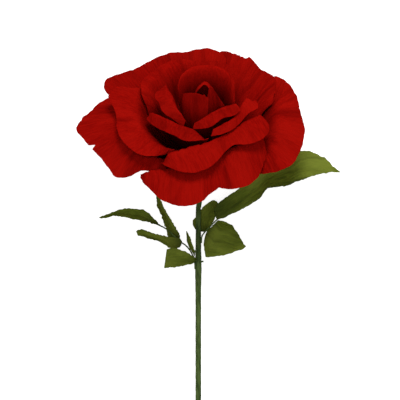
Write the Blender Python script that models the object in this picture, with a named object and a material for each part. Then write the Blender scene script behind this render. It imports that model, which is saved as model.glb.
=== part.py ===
"""A crepe paper rose on a wrapped wire stem, laid on its back.

The flower is built petal by petal round a spindle of rolled paper, then bent
onto the stem, and the whole rose is laid down on its back petals and stem.
Lengths are in metres. +Z is up, +Y runs from the stem towards the head.
"""

import math

import bmesh
import bpy
import numpy as np
from mathutils import Matrix, Vector
from mathutils.bvhtree import BVHTree

MM = 0.001

# Paper and the gap that lies between two glued layers
PETAL_PAPER = 0.6 * MM
LEAF_PAPER = 0.5 * MM
GLUE_GAP = 0.3 * MM
OPEN_GAP = 1.6 * MM

# Spindle of rolled paper in the middle of the flower, on the foot that the petals are glued to
SPINDLE_RADIUS = 4.4 * MM
SPINDLE_TIP_RADIUS = 1.6 * MM
SPINDLE_HEIGHT = 76 * MM
FOOT_DEPTH = 21 * MM
FOOT_RIM = 1.0 * MM
WIRE_SOCKET = 12 * MM

# Calyx of green crepe under the petals
CALYX_PAPER = 0.7 * MM
SEPAL_COUNT = 5
SEPAL_REACH = 12 * MM
SEPAL_RISE = 5 * MM
CALYX_SIDES = 40
CALYX_ROWS = 6

# Stem: a steel wire wrapped in green crepe, thickest where the leaf wires are bound on
STEM_LENGTH = 340 * MM
WIRE_RADIUS = 1.3 * MM
STEM_TOP_RADIUS = 2.1 * MM
BINDING_RADIUS = 2.8 * MM
BINDING_DEPTH = 98 * MM
STEM_RADIUS = 2.5 * MM
NECK_RADIUS = 22 * MM
STEM_SIDESTEP = -5 * MM
SIDESTEP_END = 45 * MM

# Leaf wires, bound to the stem
LEAF_WIRE_RADIUS = 0.9 * MM

# The flower looks away from the stem's line by this angle
NOD_DEGREES = 45

# How much of its curl a petal loses at its two sides
SIDE_EASE = 0.65

# How sharply a petal folds over its crest
FOLD_POWER = 4

# Mesh fineness
PETAL_ROWS = 8
PETAL_COLUMN = 12 * MM
EASING_SWEEPS = 10
EASING_SPREAD = 6
EASING_REACH = 2 * MM
SNUG = 0.02 * MM
LEAF_ROWS = 9
LEAF_COLUMNS = 4
ROUND_SIDES = 12

COLOURS = {
    "red_crepe": (0.42, 0.004, 0.004, 1.0),
    "green_crepe": (0.10, 0.14, 0.02, 1.0),
    "stem_green": (0.035, 0.075, 0.012, 1.0),
    "rolled_paper": (0.30, 0.003, 0.003, 1.0),
    "steel": (0.35, 0.35, 0.36, 1.0),
}

# Each petal goes from its tail at the foot of the spindle to its rim.
# layer  how many papers lie between it and the spindle
# turn   the middle of its tail round the flower, from the right towards the back
# hold   half of the angle that the tail wraps
# lean   how far the petal leans out from upright at its tail, and for how long
# curl   how far it leans out at its rim, and for how long
# crest  for a petal folded outwards, the line of the fold, in place of lean and curl
# rim    points of the rim: right, back and up from the foot, in millimetres
PETALS = {
    "bud_heart_petal": dict(
        layer=0, turn=140, hold=85,
        crest=[(8, 0, 70), (7, 5, 81), (1, 7, 87), (-6, 5, 82), (-9, 0, 70)],
        rim=[(8, -4, 60), (8, -3, 77), (5, -1, 83), (1, 1, 87), (-4, -1, 84), (-8, -3, 78), (-8, -4, 60)],
    ),
    "bud_right_petal": dict(
        layer=1, turn=-45, hold=60, lean=(12, 34), curl=(-6, 25),
        rim=[(0, -13, 55), (2, -10, 78), (5, -6, 91), (9, -8, 87), (14, -10, 80), (18, -11, 72),
             (19, -4, 60)],
    ),
    "bud_front_petal": dict(
        layer=2, turn=-138, hold=48, lean=(15, 36), curl=(-8, 30),
        rim=[(-16, 2, 54), (-19, -1, 76), (-13, -9, 86), (-7, -12, 89), (-2, -13, 88), (3.5, -12, 84)],
    ),
    "inner_back_petal": dict(
        layer=3, turn=80, hold=84,
        crest=[(-19, 3, 42), (-21, 4, 76), (-13, 8, 84), (-3, 11, 86), (5, 11, 86), (13, 8, 86), (19, 2, 84),
               (23, -5, 80), (21, -6, 42)],
        rim=[(-23, 5, 54), (-20, 10, 76), (-12, 20, 86), (3, 25, 85), (17, 22, 85), (25, 12, 83),
             (27, 1, 79), (25, -7, 60)],
    ),
    "inner_left_petal": dict(
        layer=4, turn=195, hold=55,
        crest=[(-31, 9, 75), (-30, 5, 75), (-27, 0, 74), (-24, -9, 71), (-20, -16, 68),
               (-15, -19, 61)],
        rim=[(-37, 12, 73), (-43, 4, 72), (-39, -4, 70), (-36, -11, 66), (-28, -16, 63),
             (-20, -21, 60), (-18, -23, 58)],
    ),
    "inner_right_petal": dict(
        layer=5, turn=-60, hold=60,
        crest=[(-8, -23, 62), (-2, -22, 66), (5, -18, 69), (12, -14, 71), (19, -11, 72),
               (25, -9, 71)],
        rim=[(-10, -27, 60), (3, -29, 64), (11, -26, 67), (17, -22, 69), (26, -20, 70),
             (32, -13, 70)],
    ),
    "inner_front_petal": dict(
        layer=6, turn=226, hold=52,
        crest=[(-32, 1, 36), (-46, -7, 60), (-40, -11, 62), (-31, -16, 62), (-23, -21, 62), (-15, -26, 62),
               (-6, -30, 61), (2, -27, 42)],
        rim=[(-40, 3, 46), (-50, -8, 56), (-44, -19, 57), (-33, -27, 57), (-25, -32, 57), (-17, -38, 57),
             (-6, -38, 57), (4, -34, 56)],
    ),
    "middle_back_right_petal": dict(
        layer=7, turn=60, hold=60, lean=(24, 40), curl=(60, 20),
        rim=[(-14, 30, 54), (-5, 42, 70), (5, 47, 72), (16, 45, 72), (24, 39, 71), (33, 36, 70),
             (40, 28, 68), (40, 17, 64), (33, 7, 50)],
    ),
    "middle_back_left_petal": dict(
        layer=8, turn=135, hold=60, lean=(38, 42), curl=(80, 20),
        rim=[(-47, 4, 43), (-51, 9, 57), (-56, 20, 67), (-50, 30, 69), (-40, 40, 71), (-30, 46, 73),
             (-15, 48, 73), (0, 45, 68), (8, 36, 50)],
    ),
    "middle_right_petal": dict(
        layer=8, turn=-30, hold=50,
        crest=[(8, -28, 60), (15, -25, 62), (22, -20, 63), (28, -13, 65), (31, -4, 66),
               (35, 3, 67), (34, 6, 38)],
        rim=[(6, -33, 58), (17, -31, 59), (27, -25, 60), (34, -17, 62), (40, -9, 64),
             (48, -3, 65), (43, 5, 66), (38, 8, 48)],
    ),
    "middle_left_petal": dict(
        layer=9, turn=195, hold=55,
        crest=[(-50, 26, 50), (-54, 24, 58), (-55, 12, 56), (-54, -2, 53), (-52, -15, 51), (-46, -25, 49),
               (-38, -32, 46), (-29, -33, 42), (-20, -28, 34)],
        rim=[(-48, 28, 40), (-64, 27, 58), (-76, 28, 58), (-84, 18, 56), (-77, 2, 54), (-76, -18, 52),
             (-70, -32, 50), (-60, -43, 48), (-46, -46, 46), (-31, -38, 41), (-18, -29, 30)],
    ),
    "middle_front_petal": dict(
        layer=10, turn=285, hold=60,
        crest=[(-27, -37, 20), (-33, -43, 43), (-25, -42, 48), (-15, -38, 50), (-3, -33, 52), (8, -28, 53),
               (20, -23, 54), (31, -16, 57), (41, -12, 58), (47, -6, 56), (38, 1, 34)],
        rim=[(-32, -44, 29), (-38, -49, 41), (-25, -59, 42), (-8, -61, 41), (6, -55, 43), (14, -46, 45),
             (24, -36, 49), (38, -35, 50), (50, -31, 52), (57, -20, 54), (51, -6, 54), (45, 3, 42)],
    ),
    "outer_back_left_petal": dict(
        layer=11, turn=120, hold=50, lean=(50, 35), curl=(70, 40),
        rim=[(-60, 22, 31), (-86, 38, 43), (-86, 51, 46), (-62, 68, 42), (-39, 84, 43), (-18, 81, 51),
             (5, 83, 53), (18, 77, 49), (22, 60, 36)],
    ),
    "outer_back_right_petal": dict(
        layer=12, turn=62, hold=45, lean=(50, 35), curl=(72, 40),
        rim=[(0, 52, 22), (6, 74, 42), (12, 82, 49), (21, 84, 47), (30, 85, 44), (38, 85, 42),
             (49, 78, 40), (57, 65, 39), (62, 47, 42), (60, 28, 38)],
    ),
    "outer_left_petal": dict(
        layer=12, turn=192, hold=42,
        crest=[(-56, 30, 26), (-66, 26, 34), (-68, 14, 40), (-67, 4, 43), (-64, -14, 42), (-58, -27, 40),
               (-50, -36, 38), (-42, -37, 36), (-34, -37, 31)],
        rim=[(-62, 34, 24), (-74, 38, 35), (-86, 35, 37), (-99, 22, 36), (-111, 4, 34), (-109, -5, 33),
             (-98, -20, 30), (-88, -32, 27), (-77, -49, 24), (-66, -49, 24), (-56, -47, 27), (-46, -42, 31),
             (-35, -39, 33)],
    ),
    "outer_front_petal": dict(
        layer=13, turn=270, hold=50,
        crest=[(-50, -42, 23), (-46, -43, 28), (-40, -43, 31), (-28, -45, 34), (-15, -45, 35), (-2, -42, 36),
               (12, -36, 38), (24, -30, 41), (36, -24, 44), (45, -16, 44), (48, -8, 40)],
        rim=[(-55, -46, 20), (-54, -52, 21), (-48, -60, 23), (-38, -72, 20), (-20, -79, 18), (-4, -75, 18),
             (10, -60, 19), (22, -61, 20), (36, -59, 22), (47, -49, 24), (53, -32, 28), (53, -18, 32)],
    ),
    "outer_right_petal": dict(
        layer=14, turn=0, hold=50,
        crest=[(46, 46, 19), (54, 42, 31), (60, 28, 35), (61, 12, 40), (60, -2, 40), (58, -14, 34),
               (52, -24, 28), (44, -27, 20)],
        rim=[(38, 50, 16), (60, 61, 38), (72, 54, 41), (81, 39, 39), (84, 22, 37), (88, 0, 34),
             (84, -22, 30), (76, -36, 26), (64, -40, 22), (46, -34, 12)],
    ),
}


# Leaf wires as seen with the stem upright: right, away and up from the foot, in millimetres
LEAF_WIRES = {
    "left_leaf_wire": [(-7.9, 19.7, -99), (-8.4, 19.3, -92), (-11.4, 18.7, -84), (-15.8, 18.3, -78.3),
                       (-19.4, 18, -75.7), (-25.5, 17.7, -70.4), (-33.4, 17.3, -63.4), (-42, 17.1, -59)],
    "right_leaf_wire": [(-2.4, 19.9, -76), (-1.8, 19.5, -70), (0.9, 19.1, -66), (4.4, 18.9, -62.5),
                        (9, 18.8, -57.5), (15, 18.8, -52)],
}

# Each leaf has a rib from its base to its tip, and a width on each side of it.
# rib    points of the rib: right, away and up from the foot, in millimetres
# half   the widest that it gets to the right and to the left, looking along the rib from in front
# widest share of the length at which it is widest
# point  how drawn out its tip is, from 0.3, blunt, to 1.2
# roll   how far its right-hand side turns towards the front, in degrees
# fold   how far its two sides fold forwards along the rib, in degrees
LEAVES = {
    "left_end_leaf": dict(
        rib=[(-37, 15.5, -61.5), (-49, 14, -53.5), (-65, 13.5, -49), (-81, 15, -49.5), (-92.5, 17, -52.5)],
        half=(6, 4), widest=0.4, point=0.9, roll=45, fold=14),
    "left_upper_leaf": dict(
        rib=[(-23.5, 19.3, -71), (-31.5, 21, -58), (-37.5, 22, -46), (-41.5, 21, -34)],
        half=(6, 2.5), widest=0.4, point=0.6, roll=20, fold=16),
    "left_lower_leaf": dict(
        rib=[(-19.5, 16.5, -76), (-32, 15, -72.5), (-46, 16, -69), (-59.5, 19, -66.5)],
        half=(2.5, 5.5), widest=0.35, point=0.55, roll=-20, fold=14),
    "left_round_leaf": dict(
        rib=[(-9.5, 17.6, -91.5), (-18, 17, -91), (-27, 18, -91.5), (-36, 20, -93.5)],
        half=(11, 6.5), widest=0.6, point=0.35, roll=10, fold=10),
    "left_small_leaf": dict(
        rib=[(-9.3, 17.2, -86.5), (-11, 16.3, -79), (-13.5, 15.8, -72), (-15.5, 16.3, -65)],
        half=(3, 3), widest=0.4, point=0.8, roll=25, fold=18),
    "right_back_leaf": dict(
        rib=[(-1.5, 25.7, -66), (-2.5, 25.9, -57), (1.5, 25.9, -48), (7.5, 25.4, -37)],
        half=(9.5, 8.5), widest=0.4, point=0.6, roll=0, fold=0),
    "right_round_leaf": dict(
        rib=[(3.2, 20.9, -64), (11, 21.3, -68), (21, 22.3, -73), (37, 24.3, -80)],
        half=(18, 12), widest=0.4, point=0.7, roll=0, fold=6),
    "right_end_leaf": dict(
        rib=[(9, 17.4, -53), (32, 17.3, -37), (54, 21.3, -22), (76, 24, -13), (96, 22.3, -7.5), (121, 20.3, -13)],
        half=(12, 13), widest=0.6, point=0.6, roll=-8, fold=12),
}


def clear_scene():
    for leftover in list(bpy.data.objects):
        bpy.data.objects.remove(leftover, do_unlink=True)


def crepe(name, roughness=0.85, metallic=0.0):
    material = bpy.data.materials.new(name)
    material.use_nodes = True
    shader = material.node_tree.nodes["Principled BSDF"]
    shader.inputs["Base Color"].default_value = COLOURS[name]
    shader.inputs["Roughness"].default_value = roughness
    shader.inputs["Metallic"].default_value = metallic
    return material


def add_piece(name, bm, material, parent, sharp_degrees=35):
    bmesh.ops.recalc_face_normals(bm, faces=bm.faces)
    mesh = bpy.data.meshes.new(name)
    bm.to_mesh(mesh)
    bm.free()
    mesh.shade_smooth()
    mesh.set_sharp_from_angle(angle=math.radians(sharp_degrees))
    piece = bpy.data.objects.new(name, mesh)
    piece.data.materials.append(material)
    piece.parent = parent
    bpy.context.scene.collection.objects.link(piece)
    return piece


def thicken(piece, thickness):
    wall = piece.modifiers.new("paper", "SOLIDIFY")
    wall.thickness = thickness
    wall.offset = 0


def smooth_curve(points, count):
    """Points spread evenly along the smooth curve through the given ones."""
    ends = [2 * points[0] - points[1], *points, 2 * points[-1] - points[-2]]
    fine = []
    for before, start, end, after in zip(ends, ends[1:], ends[2:], ends[3:]):
        for step in range(12):
            t = step / 12
            fine.append(
                0.5 * (2 * start + (end - before) * t
                       + (2 * before - 5 * start + 4 * end - after) * t**2
                       + (3 * start - before - 3 * end + after) * t**3)
            )
    fine.append(points[-1])
    along = [0.0]
    for a, b in zip(fine, fine[1:]):
        along.append(along[-1] + (b - a).length)
    spread = []
    for i in range(count):
        place = along[-1] * i / (count - 1)
        k = min(max(np.searchsorted(along, place) - 1, 0), len(fine) - 2)
        share = (place - along[k]) / (along[k + 1] - along[k])
        spread.append(fine[k].lerp(fine[k + 1], min(max(share, 0.0), 1.0)))
    return spread, along[-1]


def out_from_axis(place):
    flat = Vector((place.x, place.y, 0))
    return flat.normalized()


def leaning(out, degrees):
    angle = math.radians(degrees)
    return out * math.sin(angle) + Vector((0, 0, math.cos(angle)))


def layer_place(layer):
    """Radius and height of a petal's tail: each layer sits outside and below the last."""
    pitch = PETAL_PAPER + GLUE_GAP
    first = SPINDLE_RADIUS + GLUE_GAP + PETAL_PAPER / 2
    return first + layer * pitch, -layer * pitch


def petal_line(tail, rim, lean, curl, across, v):
    """A point of the petal's line from its tail to its rim: a Bezier curve, curled least at the sides."""
    lean_angle, lean_reach = lean
    curl_angle, curl_reach = curl
    curl_reach *= 1 - SIDE_EASE * across**4
    rise = tail + leaning(out_from_axis(tail), lean_angle) * lean_reach * MM
    crest = rim - leaning(out_from_axis(rim), curl_angle) * curl_reach * MM
    w = 1 - v
    return tail * w**3 + rise * 3 * w**2 * v + crest * 3 * w * v**2 + rim * v**3


def folded_line(tail, crest, rim, v):
    """A point of the petal's line that goes over the crest, where v is a half, and out to the rim."""
    corner = (crest * 2**FOLD_POWER - tail - rim) / (2**FOLD_POWER - 2)
    low, high = (1 - v) ** FOLD_POWER, v**FOLD_POWER
    return tail * low + corner * (1 - low - high) + rim * high


def petal_sheet(petal):
    """Rows of points, tail to rim, for each column across the petal."""
    rim_points = [Vector(p) * MM for p in petal["rim"]]
    columns = max(8, round(smooth_curve(rim_points, 2)[1] / PETAL_COLUMN))
    rim, _ = smooth_curve(rim_points, columns + 1)
    folded = "crest" in petal
    crest, _ = smooth_curve([Vector(p) * MM for p in petal["crest"]], columns + 1) if folded else (rim, 0)
    radius, height = layer_place(petal["layer"])
    swept = sum(a.xy.cross(b.xy) for a, b in zip(rim_points, rim_points[1:]))
    way = math.copysign(1, swept)
    sheet = []
    for column, edge in enumerate(rim):
        across = 2 * column / columns - 1
        turn = math.radians(petal["turn"] + petal["hold"] * across * way)
        tail = Vector((radius * math.cos(turn), radius * math.sin(turn), height))
        sheet.append([
            folded_line(tail, crest[column], edge, row / PETAL_ROWS) if folded
            else petal_line(tail, edge, petal["lean"], petal["curl"], across, row / PETAL_ROWS)
            for row in range(PETAL_ROWS + 1)
        ])
    return sheet


def outward(line, row):
    """The direction in which the back of the petal faces, square to its line."""
    along = line[min(row + 1, len(line) - 1)] - line[row - 1]
    out = out_from_axis(line[row])
    return (out * along.z - Vector((0, 0, along.dot(out)))).normalized()


def half_steps(columns, rows):
    """Pairs of neighbours on a sheet: each corner with itself, along, across and over to the next."""
    for c in range(columns):
        for r in range(rows):
            for c2, r2 in ((c, r), (c, r + 1), (c + 1, r), (c + 1, r + 1)):
                if c2 < columns and 0 < r2 < rows:
                    yield c, r, c2, r2


def glue_over(sheet, laid, folded):
    """Eases a petal outwards until it clears every petal that was glued before it. A fold moves as one."""
    columns, rows = len(sheet), len(sheet[0])
    top = rows // 2 - 1 if folded else rows
    out = [[outward(line, min(max(row, 1), top)) for row in range(rows)] for line in sheet]
    for _ in range(EASING_SWEEPS):
        push = np.zeros((columns, rows))
        for c, r, c2, r2 in half_steps(columns, rows):
            away = (out[c][r] + out[c2][r2]).normalized()
            place = (sheet[c][r] + sheet[c2][r2]) / 2
            gap = PETAL_PAPER + GLUE_GAP + (OPEN_GAP - GLUE_GAP) * min(1, r / rows / 0.3)
            need = 0
            for tree in laid:
                hit = tree.ray_cast(place - away * gap, away, gap + EASING_REACH)
                if hit[0]:
                    need = max(need, hit[3])
                near = tree.find_nearest(place, gap)
                if near[0]:
                    need = max(need, gap - near[3])
            for column, row in ((c, r), (c2, r2)):
                if row > 0:
                    push[column][row] = max(push[column][row], need)
        if push.max() < SNUG:
            break
        needed = push.copy()
        for _ in range(EASING_SPREAD):
            wide = np.pad(push, 1, mode="edge")
            mean = (wide[:-2, 1:-1] + wide[2:, 1:-1] + wide[1:-1, :-2] + wide[1:-1, 2:]) / 4
            push = np.maximum(needed, mean)
            push[:, 0] = 0
        for c in range(columns):
            for r in range(1, rows):
                sheet[c][r] = sheet[c][r] + out[c][r] * push[c][r]


def make_petal(name, petal, material, parent, laid):
    sheet = petal_sheet(petal)
    glue_over(sheet, laid, "crest" in petal)
    columns = len(sheet) - 1
    bm = bmesh.new()
    bmesh.ops.create_grid(bm, x_segments=columns, y_segments=PETAL_ROWS, size=1)
    for vert in bm.verts:
        column = round((vert.co.x + 1) / 2 * columns)
        row = round((vert.co.y + 1) / 2 * PETAL_ROWS)
        vert.co = sheet[column][row]
    laid.append(BVHTree.FromBMesh(bm))
    piece = add_piece(name, bm, material, parent)
    thicken(piece, PETAL_PAPER)
    return piece


def foot_radius():
    """The foot reaches a little past the tail of the last layer."""
    last_layer = max(petal["layer"] for petal in PETALS.values())
    return layer_place(last_layer)[0] + PETAL_PAPER


def foot_top(radius):
    """Height of the foot under the petals' tails, which step down as they go out."""
    seat = PETAL_PAPER / 2 + GLUE_GAP * math.sqrt(2)
    return layer_place(0)[0] - radius - seat


def make_spindle(material, parent):
    """A turned piece: spindle, stepped seat for the tails, foot and the wire's socket."""
    rim = foot_radius()
    socket = WIRE_RADIUS + GLUE_GAP
    profile = [
        (0, SPINDLE_HEIGHT),
        (SPINDLE_TIP_RADIUS, SPINDLE_HEIGHT - SPINDLE_TIP_RADIUS),
        (SPINDLE_RADIUS, SPINDLE_HEIGHT * 0.7),
        (SPINDLE_RADIUS, foot_top(SPINDLE_RADIUS)),
        (rim, foot_top(rim)),
        (rim, foot_top(rim) - FOOT_RIM),
        (rim * 0.62, -FOOT_DEPTH * 0.9),
        (socket + FOOT_RIM, -FOOT_DEPTH),
        (socket, -FOOT_DEPTH),
        (socket, WIRE_SOCKET - FOOT_DEPTH),
        (0, WIRE_SOCKET - FOOT_DEPTH),
    ]
    bm = bmesh.new()
    points = [bm.verts.new((radius, 0, height)) for radius, height in profile]
    edges = [bm.edges.new(pair) for pair in zip(points, points[1:])]
    bmesh.ops.spin(
        bm, geom=points + edges, axis=(0, 0, 1), cent=(0, 0, 0), angle=math.tau,
        steps=ROUND_SIDES * 2, use_merge=True,
    )
    bmesh.ops.remove_doubles(bm, verts=bm.verts, dist=0.001 * MM)
    return add_piece("bud_spindle", bm, material, parent)


def make_calyx(material, parent):
    """One cut of crepe with pointed sepals, gathered under the foot."""
    rim = foot_radius() + GLUE_GAP + CALYX_PAPER
    rim_height = foot_top(foot_radius()) - FOOT_RIM
    collar = STEM_TOP_RADIUS + GLUE_GAP + CALYX_PAPER / 2
    bottom = -FOOT_DEPTH - GLUE_GAP - CALYX_PAPER
    bm = bmesh.new()
    bmesh.ops.create_grid(bm, x_segments=CALYX_SIDES, y_segments=CALYX_ROWS, size=1)
    for vert in bm.verts:
        part_turn = (vert.co.x + 1) / 2
        up = (vert.co.y + 1) / 2
        spike = 1 - abs((part_turn * SEPAL_COUNT) % 1 - 0.5) * 2
        turn = part_turn * math.tau + math.radians(90)
        out = Vector((math.cos(turn), math.sin(turn), 0))
        rise = Vector((0, 0, 1))
        reach = rim + SEPAL_REACH * spike
        points = [
            out * collar + rise * bottom,
            out * rim * 0.6 + rise * bottom,
            out * rim + rise * (rim_height - CALYX_PAPER * 2),
            out * reach + rise * (rim_height + SEPAL_RISE * spike),
        ]
        down = 1 - up
        vert.co = (points[0] * down**3 + points[1] * 3 * down**2 * up
                   + points[2] * 3 * down * up**2 + points[3] * up**3)
    bmesh.ops.remove_doubles(bm, verts=bm.verts, dist=0.001 * MM)
    piece = add_piece("calyx", bm, material, parent, sharp_degrees=60)
    thicken(piece, CALYX_PAPER)
    return piece


def stem_path():
    """From the socket in the foot, round the neck and straight down, with the stem upright."""
    nod = math.radians(NOD_DEGREES)
    axis = Vector((0, -math.sin(nod), math.cos(nod)))
    path = [axis * (WIRE_SOCKET - FOOT_DEPTH - GLUE_GAP), axis * -FOOT_DEPTH]
    neck = axis * -(FOOT_DEPTH + 2 * MM)
    centre = neck + Vector((0, -math.cos(nod), -math.sin(nod))) * NECK_RADIUS
    for step in range(7):
        angle = nod * (1 - step / 6)
        path.append(centre + Vector((0, math.cos(angle), math.sin(angle))) * NECK_RADIUS)
    for depth in (SIDESTEP_END, 4 / 3 * SIDESTEP_END, 5 / 3 * SIDESTEP_END, 0.9 * BINDING_DEPTH,
                  BINDING_DEPTH, 1.15 * BINDING_DEPTH, STEM_LENGTH):
        path.append(Vector((0, path[-1].y, -depth)))
    for point in path[2:]:
        step = min(max((point.z - neck.z) / (-SIDESTEP_END - neck.z), 0), 1)
        point.x = STEM_SIDESTEP * step * step * (3 - 2 * step)
    return path


def make_wire(name, path, radius, material, parent):
    curve = bpy.data.curves.new(name, "CURVE")
    curve.dimensions = "3D"
    curve.bevel_depth = radius
    curve.bevel_resolution = 2
    curve.use_fill_caps = True
    spline = curve.splines.new("POLY")
    spline.points.add(len(path) - 1)
    for point, place in zip(spline.points, path):
        point.co = (*place, 1)
    curve.materials.append(material)
    wire = bpy.data.objects.new(name, curve)
    wire.parent = parent
    bpy.context.scene.collection.objects.link(wire)
    return wire


def wrap_radius(depth):
    """Outside of the stem's wrap at this depth under the flower."""
    spread = (depth - BINDING_DEPTH) / (0.15 * BINDING_DEPTH)
    plain = STEM_TOP_RADIUS + (STEM_RADIUS - STEM_TOP_RADIUS) * min(depth / BINDING_DEPTH, 1)
    return plain + (BINDING_RADIUS - STEM_RADIUS) * math.exp(-spread * spread)


def make_stem_wrap(material, parent):
    """A sleeve round the wire: down its outside, and back up its inside."""
    path = stem_path()[2:]
    rows = [(place, wrap_radius(-place.z)) for place in path]
    rows += [(place, WIRE_RADIUS + GLUE_GAP) for place in reversed(path)]
    rows.append(rows[0])
    tangents = [path[min(i + 1, len(path) - 1)] - path[max(i - 1, 0)] for i in range(len(path))]
    tangents += tangents[::-1] + tangents[:1]
    bm = bmesh.new()
    bmesh.ops.create_grid(bm, x_segments=ROUND_SIDES, y_segments=len(rows) - 1, size=1)
    for vert in bm.verts:
        turn = (vert.co.x + 1) / 2 * math.tau
        row = round((vert.co.y + 1) / 2 * (len(rows) - 1))
        place, radius = rows[row]
        along = tangents[row].normalized()
        side = Vector((1, 0, 0)) - along * along.x
        side.normalize()
        vert.co = place + (side * math.cos(turn) + along.cross(side) * math.sin(turn)) * radius
    bmesh.ops.remove_doubles(bm, verts=bm.verts, dist=0.001 * MM)
    return add_piece("stem_wrap", bm, material, parent)


def leaf_width(along, widest, point):
    """Share of the full width at a place from the base, 0, to the tip, 1."""
    swell = point * widest / (1 - widest)
    return (along / widest) ** swell * ((1 - along) / (1 - widest)) ** point


def make_leaf(name, leaf, material, parent):
    rib, _ = smooth_curve([Vector(p) * MM for p in leaf["rib"]], LEAF_ROWS + 1)
    front = Vector((0, -1, 0))
    roll = math.radians(leaf["roll"])
    fold = math.tan(math.radians(leaf["fold"]))
    bm = bmesh.new()
    bmesh.ops.create_grid(bm, x_segments=LEAF_COLUMNS, y_segments=LEAF_ROWS, size=1)
    for vert in bm.verts:
        across = vert.co.x
        row = round((vert.co.y + 1) / 2 * LEAF_ROWS)
        along = (rib[min(row + 1, LEAF_ROWS)] - rib[max(row - 1, 0)]).normalized()
        right = along.cross(front).normalized()
        face = right.cross(along)
        side = right * math.cos(roll) + face * math.sin(roll)
        facing = face * math.cos(roll) - right * math.sin(roll)
        share = min(max(row / LEAF_ROWS, 0.03), 0.985)
        half = leaf["half"][0 if across > 0 else 1] * MM * leaf_width(share, leaf["widest"], leaf["point"])
        vert.co = rib[row] + (side * across + facing * abs(across) * fold) * half
    piece = add_piece(name, bm, material, parent)
    thicken(piece, LEAF_PAPER)
    return piece


def world_points():
    """Every corner of the rose as it stands, as rows of x, y and z."""
    bpy.context.view_layer.update()
    graph = bpy.context.evaluated_depsgraph_get()
    corners = []
    for piece in bpy.context.scene.objects:
        if piece.type == "EMPTY":
            continue
        solid = piece.evaluated_get(graph)
        mesh = solid.to_mesh()
        corners += [solid.matrix_world @ vert.co for vert in mesh.vertices]
        solid.to_mesh_clear()
    return np.array(corners)


def lay_down(root):
    """Lays the rose on the stem's end and on a back petal each side, then centres it on the floor."""
    root.matrix_world = Matrix.Rotation(math.radians(-90), 4, "X")
    for _ in range(12):
        points = world_points()
        head = points[points[:, 1] > 0]
        stem_end = Vector(min(points[points[:, 1] < -STEM_LENGTH / 2], key=lambda p: p[2]))
        left = Vector(min(head[head[:, 0] < STEM_SIDESTEP], key=lambda p: p[2]))
        right = Vector(min(head[head[:, 0] > STEM_SIDESTEP], key=lambda p: p[2]))
        floor = (right - stem_end).cross(left - stem_end).normalized()
        root.matrix_world = floor.rotation_difference(Vector((0, 0, 1))).to_matrix().to_4x4() @ root.matrix_world
    points = world_points()
    low, high = points.min(axis=0), points.max(axis=0)
    middle = (low + high) / 2
    root.matrix_world = Matrix.Translation((-middle[0], -middle[1], -low[2])) @ root.matrix_world


def main():
    clear_scene()
    root = bpy.data.objects.new("rose", None)
    flower = bpy.data.objects.new("flower", None)
    for empty in (root, flower):
        bpy.context.scene.collection.objects.link(empty)
    flower.parent = root
    flower.rotation_euler.x = math.radians(NOD_DEGREES)
    red = crepe("red_crepe")
    green = crepe("green_crepe")
    stem_green = crepe("stem_green")
    make_spindle(crepe("rolled_paper"), flower)
    laid = []
    for name, petal in PETALS.items():
        make_petal(name, petal, red, flower, laid)
    make_calyx(green, flower)
    make_wire("stem_wire", stem_path(), WIRE_RADIUS, crepe("steel", 0.4, 1.0), root)
    make_stem_wrap(stem_green, root)
    for name, route in LEAF_WIRES.items():
        path, _ = smooth_curve([Vector(p) * MM for p in route], 14)
        make_wire(name, path, LEAF_WIRE_RADIUS, stem_green, root)
    for name, leaf in LEAVES.items():
        make_leaf(name, leaf, green, root)
    lay_down(root)


main()
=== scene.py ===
import math

import bmesh
import bpy
import numpy as np
from mathutils import Euler, Matrix, Vector, noise
from mathutils.bvhtree import BVHTree


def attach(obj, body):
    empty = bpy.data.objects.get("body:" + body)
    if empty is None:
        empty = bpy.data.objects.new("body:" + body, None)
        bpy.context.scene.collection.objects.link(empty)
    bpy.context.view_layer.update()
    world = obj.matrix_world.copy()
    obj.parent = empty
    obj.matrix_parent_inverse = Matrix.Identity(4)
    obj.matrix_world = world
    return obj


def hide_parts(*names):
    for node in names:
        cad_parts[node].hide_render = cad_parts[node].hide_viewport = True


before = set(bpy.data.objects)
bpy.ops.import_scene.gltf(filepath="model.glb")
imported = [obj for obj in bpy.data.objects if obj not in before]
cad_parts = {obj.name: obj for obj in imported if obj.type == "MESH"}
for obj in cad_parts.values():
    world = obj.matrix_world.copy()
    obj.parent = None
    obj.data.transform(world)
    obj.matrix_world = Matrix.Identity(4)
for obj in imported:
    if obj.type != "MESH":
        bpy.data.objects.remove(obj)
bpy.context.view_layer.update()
print("frame loaded:", len(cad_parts), "pieces")

mm = 0.001
weld = 0.001 * mm

# edges sharper than this many degrees stay crisp
sharpFrom = {"sheet": 60, "tape": 70, "roll": 40}

# how the rose lies on its back: turned and nodding in degrees, the foot of the flower in millimetres
lying = {"turn": (-89.4207, -0.4973, -0.0025), "foot": (-4.96, 121.779, 28.686), "nod": 45}

plantToWorld = (Matrix.Translation(Vector(lying["foot"]) * mm)
                @ Euler([math.radians(angle) for angle in lying["turn"]]).to_matrix().to_4x4())
flowerToWorld = plantToWorld @ Matrix.Rotation(math.radians(lying["nod"]), 4, "X")


# Shader sums

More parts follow.
